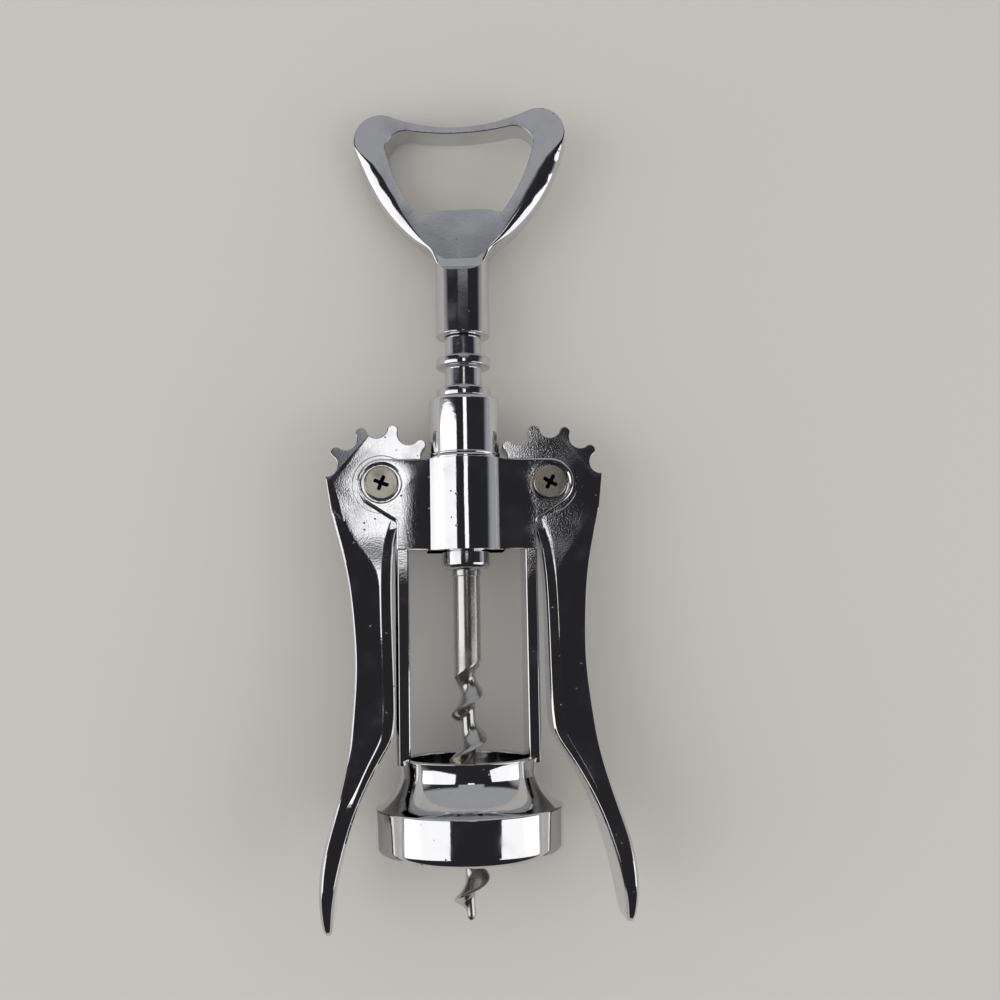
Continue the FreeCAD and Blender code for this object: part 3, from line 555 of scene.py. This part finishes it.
# down the blade from the pivot: height, inner and outer edge, half depth, width and drop of the
# outer bevel, of the outer band, of the inner band and of the inner bevel
BLADE = (
    (-1.0, -5.0, 11.75, 2.45, 0.5, 0.5, 1.9, 0.36, 1.7, 0.30, 0.35, 0.3),
    (-5.5, -4.6, 10.85, 2.45, 0.5, 0.5, 2.2, 0.40, 1.7, 0.30, 0.35, 0.3),
    (-9.5, -3.3, 9.75, 2.50, 0.5, 0.5, 2.2, 0.28, 1.8, 0.32, 0.35, 0.3),
    (-13.0, -2.5, 8.8, 2.80, 0.5, 0.5, 3.8, 0.34, 1.9, 0.34, 0.35, 0.3),
    (-18.0, -2.1, 7.5, 3.40, 0.5, 0.5, 6.5, 0.42, 1.9, 0.34, 0.35, 0.3),
    (-24.0, -2.05, 6.6, 3.80, 0.5, 0.5, 5.6, 0.37, 1.9, 0.34, 0.35, 0.3),
    (-31.0, -2.2, 5.95, 4.10, 0.5, 0.5, 5.1, 0.34, 1.9, 0.34, 0.35, 0.3),
    (-38.0, -2.4, 5.6, 4.40, 0.5, 0.5, 5.0, 0.33, 1.9, 0.34, 0.35, 0.3),
    (-45.0, -2.6, 6.05, 4.80, 0.5, 0.5, 5.6, 0.36, 1.9, 0.34, 0.35, 0.3),
    (-50.0, -2.45, 6.5, 5.15, 0.5, 0.5, 5.9, 0.38, 1.9, 0.34, 0.35, 0.3),
    (-52.5, -2.0, 6.7, 5.35, 0.5, 0.5, 5.7, 0.37, 1.8, 0.34, 0.35, 0.3),
    (-57.0, 0.95, 7.35, 5.95, 0.5, 0.5, 3.7, 0.24, 1.5, 0.30, 0.4, 0.3),
    (-62.6, 3.8, 8.6, 6.90, 0.5, 0.5, 2.5, 0.16, 1.1, 0.25, 0.4, 0.35),
    (-68.1, 6.1, 10.2, 7.60, 0.6, 0.55, 0.3, 0.05, 0.8, 0.20, 0.4, 0.4),
    (-74.0, 7.75, 11.95, 8.00, 0.6, 0.60, 0.3, 0.06, 0.6, 0.15, 0.45, 0.5),
    (-80.1, 9.15, 12.65, 8.20, 0.6, 0.65, 0.3, 0.06, 0.4, 0.12, 0.5, 0.55),
    (-84.9, 9.8, 12.5, 7.45, 0.55, 0.70, 0.2, 0.05, 0.3, 0.10, 0.5, 0.6),
    (-88.6, 10.0, 12.0, 5.90, 0.5, 0.70, 0.15, 0.05, 0.2, 0.10, 0.45, 0.6),
    (-90.6, 10.4, 11.45, 4.10, 0.3, 0.50, 0.1, 0.05, 0.1, 0.05, 0.3, 0.5),
)
CREASES = (0.0, 0.75, 0.75, 0.6, 0.6, 0.75, 0.75, 0.0)

# the slanted outer face of the disc: two straight edges, in the disc's plane
DISC_SLANTS = (((4.66, 7.33), (9.8, 0.25)), ((9.8, 0.25), (7.3, -9.5)))
DISC_SLANT = 10.5


def slice_off(bm, point, outward):
    """Cut everything beyond a plane off a closed mesh, and close it again."""
    cut = bmesh.ops.bisect_plane(
        bm, geom=bm.verts[:] + bm.edges[:] + bm.faces[:], dist=0.0005,
        plane_co=point, plane_no=outward, clear_outer=True,
    )
    rim = [part for part in cut["geom_cut"] if isinstance(part, bmesh.types.BMEdge) and part.is_boundary]
    bmesh.ops.holes_fill(bm, edges=rim, sides=0)


def polar(radius, degrees):
    return Vector((radius * math.cos(math.radians(degrees)), radius * math.sin(math.radians(degrees)), 0))


def bend_to(bm, last, centre, end, clockwise, steps):
    """Bend the wire on about a centre until it points at the end."""
    begin = math.degrees(math.atan2(last.co.y - centre.y, last.co.x - centre.x))
    stop = math.degrees(math.atan2(end.y - centre.y, end.x - centre.x))
    sweep = -((begin - stop) % 360) if clockwise else (stop - begin) % 360
    return arc_on(bm, last, centre, sweep, steps)


def toothed_disc():
    """The disc, with its outer side sloping away and its edges broken."""
    bm = bmesh.new()
    gaps = [polar(GAP_CENTRE, FIRST_TOOTH + TOOTH_STEP * (number + 0.5)) for number in range(GAPS)]
    tips = [polar(TIP_CENTRE, FIRST_TOOTH + TOOTH_STEP * (number + 1)) for number in range(GAPS)]
    reach = (gaps[0] - tips[0]).length
    first = last = bm.verts.new(gaps[0] + polar(GAP_RADIUS, -83))
    for gap, tip in zip(gaps, tips):
        last = bend_to(bm, last, gap, gap.lerp(tip, GAP_RADIUS / reach), clockwise=True, steps=18)
        if tip is not tips[-1]:
            following = gaps[gaps.index(gap) + 1]
            last = bend_to(bm, last, tip, following.lerp(tip, GAP_RADIUS / reach), clockwise=False, steps=12)
    last = bend_to(bm, last, tips[-1], tips[-1] * 2, clockwise=False, steps=6)
    hub_start = bm.verts.new(polar(HUB_RADIUS, FIRST_TOOTH + TOOTH_STEP * GAPS + 6))
    bm.edges.new((last, hub_start))
    last = arc_on(bm, hub_start, (0, 0), 76, 20)
    for x, y in ((8.6, -9.0), (10.6, -5.5)):
        there = bm.verts.new((x, y, 0))
        bm.edges.new((last, there))
        last = there
    bm.edges.new((last, first))
    solid_from(bm, DISC_HALF)
    lean = math.radians(DISC_SLANT)
    for (ax, ay), (bx, by) in DISC_SLANTS:
        outward = Vector((ay - by, bx - ax, 0)).normalized()
        outward = outward if outward.x > 0 else -outward
        for side in (1, -1):
            tilted = outward * math.sin(lean) + Vector((0, 0, side * math.cos(lean)))
            slice_off(bm, (ax, ay, side * DISC_HALF), tilted)
    return break_edges(bm, 0.5, 3)


def blade():
    """The blade and paddle: a bevelled section carried down the lever and bridged."""
    bm = bmesh.new()
    crease = bm.edges.layers.float.new("crease_edge")
    rings = []
    for y, inner, outer, half, edge, edge_drop, band, band_drop, fold, fold_drop, lip, lip_drop in BLADE:
        upper = [
            (outer, 0),
            (outer, half - band_drop - edge_drop),
            (outer - edge, half - band_drop),
            (outer - edge - band, half),
            (inner + lip + fold, half),
            (inner + lip, half - fold_drop),
            (inner, half - fold_drop - lip_drop),
            (inner, 0),
        ]
        around = upper + [(x, -z) for x, z in upper[-2:0:-1]]
        verts = [bm.verts.new((x, y, z)) for x, z in around]
        edges = [bm.edges.new((a, b)) for a, b in zip(verts, verts[1:] + verts[:1])]
        rings.append((verts, edges))
    for (_, above), (_, below) in zip(rings, rings[1:]):
        bmesh.ops.bridge_loops(bm, edges=above + below)
    for _, edges in (rings[0], rings[-1]):
        bmesh.ops.contextual_create(bm, geom=edges)
    folds = CREASES + CREASES[-2:0:-1]
    for (above, _), (below, _) in zip(rings, rings[1:]):
        for fold, a, b in zip(folds, above, below):
            edge = bm.edges.get((a, b))
            if edge:
                edge[crease] = fold
    bmesh.ops.recalc_face_normals(bm, faces=bm.faces)
    return bm


for side, word, turn in ((-1, "left", 0.0), (1, "right", RIGHT_LEVER_TURN)):
    cuts = [loose(drum(LEVER_BORE, -6, 6))]
    for face in (1, -1):
        dish = drum(DISH_RADIUS, DISH_FLOOR, DISH_FLOOR + 3, top_radius=DISH_RADIUS + 1.5)
        if face < 0:
            bmesh.ops.rotate(dish, matrix=Matrix.Rotation(math.pi, 3, "X"), verts=dish.verts)
        cuts.append(loose(dish))
    bm = combined(loose(toothed_disc()), joined=[loose(blade(), levels=3)], removed=cuts)
    if side < 0:
        bmesh.ops.scale(bm, vec=(-1, 1, 1), verts=bm.verts)
        bmesh.ops.recalc_face_normals(bm, faces=bm.faces)
    bmesh.ops.rotate(bm, matrix=Matrix.Rotation(math.radians(turn), 3, "Z"), verts=bm.verts)
    bmesh.ops.translate(bm, vec=(side * PIVOT[0], PIVOT[1], 0), verts=bm.verts)
    lever = keep(bm, "lever_%s_casting" % word, lever_chrome, crease=32.0)
    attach(lever, "lever_" + word)
    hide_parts("lever_" + word)


# ---------------------------------------------------------------- opener handle
# A flat cap-lifter head on a round shank, cast in one and fixed on the worm's spindle. Its arms are
# rounded over on their outer sides, and the head stands a little turned against the frame.

HEAD_HALF = 3.3
HEAD_TURN = -8.5
SHANK_SPAN = (107.45, 127.0)
SPINDLE_RADIUS = 2.4
SPINDLE_TOP = 118.5
EDGE_ROWS = 9

HEAD = (
    (15.32, 156.95, -5.8, 0.0),
    (22.78, 149.61, -36.0, 0.0),
    (6.48, 126.2, None, 0.8),
    (4.5, 122.0, None, 0.0),
    (-4.5, 122.0, None, 0.0),
    (-6.48, 126.2, -36.0, 0.8),
    (-22.78, 149.61, -5.8, 0.0),
    (-15.32, 156.95, 38.3, 0.0),
)
MOUTH = (
    (11.3, 153.35, -4.6, 0.0),
    (16.2, 149.7, -36.0, 0.0),
    (9.1, 134.2, None, 0.5),
    (5.5, 135.0, None, 1.2),
    (-5.5, 135.0, None, 1.2),
    (-9.1, 134.2, -36.0, 0.5),
    (-16.2, 149.7, -4.6, 0.0),
    (-11.3, 153.35, 56.1, 0.0),
)
# height, then how far the rounding reaches in and down at that height
ARM_EDGE = (
    (123.5, 0.3, 0.3), (126.0, 0.5, 0.5), (128.0, 1.2, 1.0), (131.0, 2.4, 1.8), (136.0, 3.7, 2.5),
    (141.0, 3.9, 2.6), (145.0, 3.1, 2.2), (147.5, 1.7, 1.4), (149.6, 0.5, 0.5), (151.5, 0.3, 0.3),
)
MOUTH_EDGE = ((135.0, 0.25, 0.25), (149.0, 0.18, 0.18))

# where the flat of the head runs out on the shank, as height and depth
RUN_OUT = (
    (140.0, 3.28, None, 0.0),
    (140.0, 9.0, None, 0.0),
    (119.8, 9.0, None, 0.0),
    (120.9, 5.9, 4.2, 0.0),
    (124.3, 3.28, None, 0.0),
)


def reading(table, height):
    """The two values of a table at a height, straight from row to row."""
    if height <= table[0][0]:
        return table[0][1:]
    for (low, *first), (high, *second) in zip(table, table[1:]):
        if height <= high:
            share = (height - low) / (high - low)
            return [a + (b - a) * share for a, b in zip(first, second)]
    return table[-1][1:]


def rolled_edge(corners, table, inwards):
    """The wall and rounded shoulder inside an outline, from the middle plane up to the flat face."""
    bm = outline(bmesh.new(), corners, steps=40)
    bmesh.ops.remove_doubles(bm, verts=bm.verts, dist=0.001)
    longest = [edge for edge in bm.edges if edge.calc_length() > 1.2]
    bmesh.ops.subdivide_edges(bm, edges=longest, cuts=8)
    order = bm.verts[:][:1]
    while len(order) < len(bm.verts):
        steps = [edge.other_vert(order[-1]) for edge in order[-1].link_edges]
        order.append([vert for vert in steps if vert not in order[-2:]][0])
    ahead = order[1:] + order[:1]
    behind = order[-1:] + order[:-1]
    area = sum(a.co.x * b.co.y - b.co.x * a.co.y for a, b in zip(order, ahead))
    sense = math.copysign(1, area) * (1 if inwards else -1)
    into = [
        Vector((a.co.y - b.co.y, b.co.x - a.co.x, 0)).normalized() * sense
        for a, b in zip(behind, ahead)
    ]
    base = [vert.co.copy() for vert in order]
    rows = [[bm.edges.get((a, b)) for a, b in zip(order, ahead)]]
    for row in range(EDGE_ROWS + 1):
        angle = math.pi / 2 * row / EDGE_ROWS
        copied = bmesh.ops.duplicate(bm, geom=order + rows[0])
        verts = [copied["vert_map"][vert] for vert in order]
        for vert, start, inward in zip(verts, base, into):
            reach, drop = reading(table, start.y)
            vert.co = start + inward * reach * (1 - math.cos(angle))
            vert.co.z = HEAD_HALF - drop + drop * math.sin(angle)
        rows.append([bm.edges.get((a, b)) for a, b in zip(verts, verts[1:] + verts[:1])])
    for below, above in zip(rows, rows[1:]):
        bmesh.ops.bridge_loops(bm, edges=below + above)
    return bm


bm = rolled_edge(HEAD, ARM_EDGE, True)
opening = rolled_edge(MOUTH, MOUTH_EDGE, False)
mesh = bpy.data.meshes.new("helper")
opening.to_mesh(mesh)
opening.free()
bm.from_mesh(mesh)
bpy.data.meshes.remove(mesh)
rims = [edge for edge in bm.edges if edge.is_boundary and edge.verts[0].co.z > HEAD_HALF - 0.001]
bmesh.ops.triangle_fill(bm, edges=rims, use_beauty=True)
bmesh.ops.mirror(bm, geom=bm.verts[:] + bm.edges[:] + bm.faces[:], axis="Z", merge_dist=0.001)
bmesh.ops.remove_doubles(bm, verts=bm.verts, dist=0.001)
bmesh.ops.recalc_face_normals(bm, faces=bm.faces)
plate = loose(bm)

flats = []
for face in (1, -1):
    flat = solid_from(outline(bmesh.new(), RUN_OUT), 12)
    bmesh.ops.rotate(flat, matrix=Matrix.Rotation(math.pi / 2, 3, "Y"), verts=flat.verts)
    bmesh.ops.rotate(flat, matrix=Matrix.Rotation(math.pi / 2, 3, "X"), verts=flat.verts)
    bmesh.ops.scale(flat, vec=(1, 1, face), verts=flat.verts)
    bmesh.ops.recalc_face_normals(flat, faces=flat.faces)
    flats.append(loose(flat))
shank = break_edges(drum(RING_RADIUS, *SHANK_SPAN, upright=True), 0.35, 3)
socket = loose(drum(SPINDLE_RADIUS, SHANK_SPAN[0] - 1, SPINDLE_TOP, upright=True))
bm = combined(loose(shank), removed=flats + [socket])
bm = combined(loose(bm), joined=[plate])
bmesh.ops.rotate(bm, matrix=Matrix.Rotation(math.radians(HEAD_TURN), 3, "Y"), verts=bm.verts)
handle = keep(bm, "opener_handle_metal", head_chrome, crease=30.0)
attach(handle, "spindle")
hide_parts("opener_handle")

# ---------------------------------------------------------------- worm
# A steel screw with a thin right-handed flight that swells smoothly out of its core. It fades out
# near the blunt tip and under the thicker shank, which ends on a slant.

WORM_PITCH = 9.3
WORM_STEPS = 90
WORM_START = -18.9
WORM_TURNS = 7
WORM_CORE = 1.5
# radius and height of the flight's section: steep underneath, and with a wide hollow on top
FLIGHT = (
    (1.5, -4.65), (1.5, -2.3), (1.6, -1.75), (1.85, -1.3), (2.3, -0.9), (2.9, -0.6), (3.5, -0.4),
    (3.85, -0.25), (3.95, -0.05), (3.85, 0.2), (3.45, 0.6), (2.9, 1.1), (2.4, 1.7), (2.0, 2.3),
    (1.7, 3.0), (1.55, 3.6), (1.5, 4.2), (1.5, 4.65),
)
# height of the turn, then the share of the flight that stands there
FLIGHT_SHARE = (
    (-12.2, 0.0), (-11.2, 0.3), (-9.6, 0.78), (-7.6, 0.97), (-5.0, 1.0), (22.0, 1.0), (27.6, 0.84),
    (32.2, 0.64), (36.9, 0.35), (38.5, 0.0),
)
CORE_TAPER = ((-13.0, 0.80), (-8.0, 0.86), (-2.0, 1.2), (5.0, 1.5), (30.0, 1.5))
SHANK_RADIUS = 2.84
SHANK_END = 36.5
SHANK_SLANT = 0.5
SHANK_BLEND = 1.7
WORM_CUT = (-12.4, 41.5)
WORM_TOP = (
    (2.84, 56.1), (2.9, 56.2), (3.1, 56.3), (3.1, 57.35), (3.04, 57.4), (2.4, 57.4), (2.4, 118.2),
    (2.2, 118.45),
)
WORM_POINT = ((0.78, -12.9), (0.66, -13.3), (0.42, -13.5))


def drawn_on(bm, height, rows):
    """Draw a round opening at a height on through rows of radius and height, and close it."""
    loop = [e for e in bm.edges if e.is_boundary and abs(e.verts[0].co.y - height) < 0.01]
    for radius, level in rows:
        made = bmesh.ops.extrude_edge_only(bm, edges=loop)
        loop = [part for part in made["geom"] if isinstance(part, bmesh.types.BMEdge)]
        loop = [edge for edge in loop if edge.is_boundary]
        for vert in {vert for edge in loop for vert in edge.verts}:
            across = Vector((vert.co.x, 0, vert.co.z)).normalized() * radius
            vert.co = (across.x, level, across.z)
    bmesh.ops.holes_fill(bm, edges=loop, sides=0)


bm = bmesh.new()
section = [bm.verts.new((-radius, WORM_START + rise, 0)) for radius, rise in FLIGHT]
geom = section + [bm.edges.new((a, b)) for a, b in zip(section, section[1:])]
bmesh.ops.spin(
    bm, geom=geom, cent=(0, 0, 0), axis=(0, 1, 0), dvec=(0, WORM_PITCH / WORM_STEPS, 0),
    angle=math.tau * WORM_TURNS, steps=WORM_STEPS * WORM_TURNS, use_duplicate=False,
)
bmesh.ops.remove_doubles(bm, verts=bm.verts, dist=0.002)
for vert in bm.verts:
    radius = math.hypot(vert.co.x, vert.co.z)
    turn = math.atan2(vert.co.z, -vert.co.x) / math.tau
    lowest = WORM_START + WORM_PITCH * turn
    level = lowest + WORM_PITCH * round((vert.co.y - lowest) / WORM_PITCH)
    share = reading(FLIGHT_SHARE, level)[0]
    core = reading(CORE_TAPER, vert.co.y)[0]
    above = (vert.co.y - SHANK_END - SHANK_SLANT * vert.co.x * SHANK_RADIUS / radius) / SHANK_BLEND + 1
    above = min(1.0, max(0.0, above))
    core += (SHANK_RADIUS - core) * above * above * (3 - 2 * above)
    wanted = max(core, core + (radius - WORM_CORE) * share - (core - WORM_CORE) * (radius - WORM_CORE) / 2.45)
    vert.co.x *= wanted / radius
    vert.co.z *= wanted / radius
for level, outward in ((WORM_CUT[0], -1), (WORM_CUT[1], 1)):
    bmesh.ops.bisect_plane(
        bm, geom=bm.verts[:] + bm.edges[:] + bm.faces[:], dist=0.0005,
        plane_co=(0, level, 0), plane_no=(0, outward, 0), clear_outer=True,
    )
drawn_on(bm, WORM_CUT[1], WORM_TOP)
drawn_on(bm, WORM_CUT[0], WORM_POINT)
bmesh.ops.recalc_face_normals(bm, faces=bm.faces)
worm = keep(bm, "worm_metal", worm_nickel, crease=40.0)
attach(worm, "spindle")
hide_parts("worm")

# ---------------------------------------------------------------- pivot screws and barrel nuts
# A barrel nut goes into each ear from the back and carries the wing; a cross-recessed machine
# screw closes it from the front. Both are turned steel with worn nickel.

SCREW_HEAD = (3.6, 3.6, 5.1)  # radius, underside and top
SCREW_STEM = (1.5, -3.9, 3.7)
SCREW_EDGE = 0.4
NUT = (
    (1.52, -5.2, None, 0.15),
    (4.0, -5.2, None, 0.3),
    (4.0, -4.0, None, 0.1),
    (2.6, -4.0, None, 0.0),
    (2.6, 3.58, None, 0.25),
    (1.52, 3.58, None, 0.1),
)
RECESS_SPAN = 2.0
RECESS_HALF = 0.5
RECESS_FLOOR = 3.9
RECESS_TAPER = 0.55
RECESS_TURN = {"left": -21.0, "right": -30.0}


def recess():
    """The crossed hole of the driver, narrower at its floor."""
    half, span = RECESS_HALF, RECESS_SPAN
    corners = []
    for quarter in range(4):
        turn = Matrix.Rotation(quarter * math.pi / 2, 2)
        for x, y, bend, cut_back in ((span, -half, None, 0.3), (span, half, None, 0.3), (half, half, None, 0.2)):
            place = turn @ Vector((x, y))
            corners.append((place.x, place.y, bend, cut_back))
    bm = solid_from(outline(bmesh.new(), corners), 1.0)
    floor = [vert for vert in bm.verts if vert.co.z < 0]
    bmesh.ops.scale(bm, vec=(RECESS_TAPER, RECESS_TAPER, 1), verts=floor)
    bmesh.ops.translate(bm, vec=(0, 0, RECESS_FLOOR + 1.0), verts=bm.verts)
    return bm


for side, word in ((-1, "left"), (1, "right")):
    upright = Matrix.Rotation(math.pi / 2, 3, "X")
    head = break_edges(drum(*SCREW_HEAD), SCREW_EDGE, 4)
    bm = combined(loose(head), joined=[loose(drum(*SCREW_STEM))], removed=[loose(recess())])
    bmesh.ops.rotate(bm, matrix=Matrix.Rotation(math.radians(RECESS_TURN[word]), 3, "Z"), verts=bm.verts)
    bmesh.ops.translate(bm, vec=(side * PIVOT[0], PIVOT[1], 0), verts=bm.verts)
    screw = keep(bm, "pivot_screw_%s_metal" % word, pivot_nickel)
    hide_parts("pivot_screw_" + word)
    bm = turned(NUT, steps=96)
    bmesh.ops.rotate(bm, matrix=upright, verts=bm.verts)
    bmesh.ops.translate(bm, vec=(side * PIVOT[0], PIVOT[1], 0), verts=bm.verts)
    nut = keep(bm, "barrel_nut_%s_metal" % word, pivot_nickel)
    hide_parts("barrel_nut_" + word)
    for made in (screw, nut):
        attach(made, "frame")
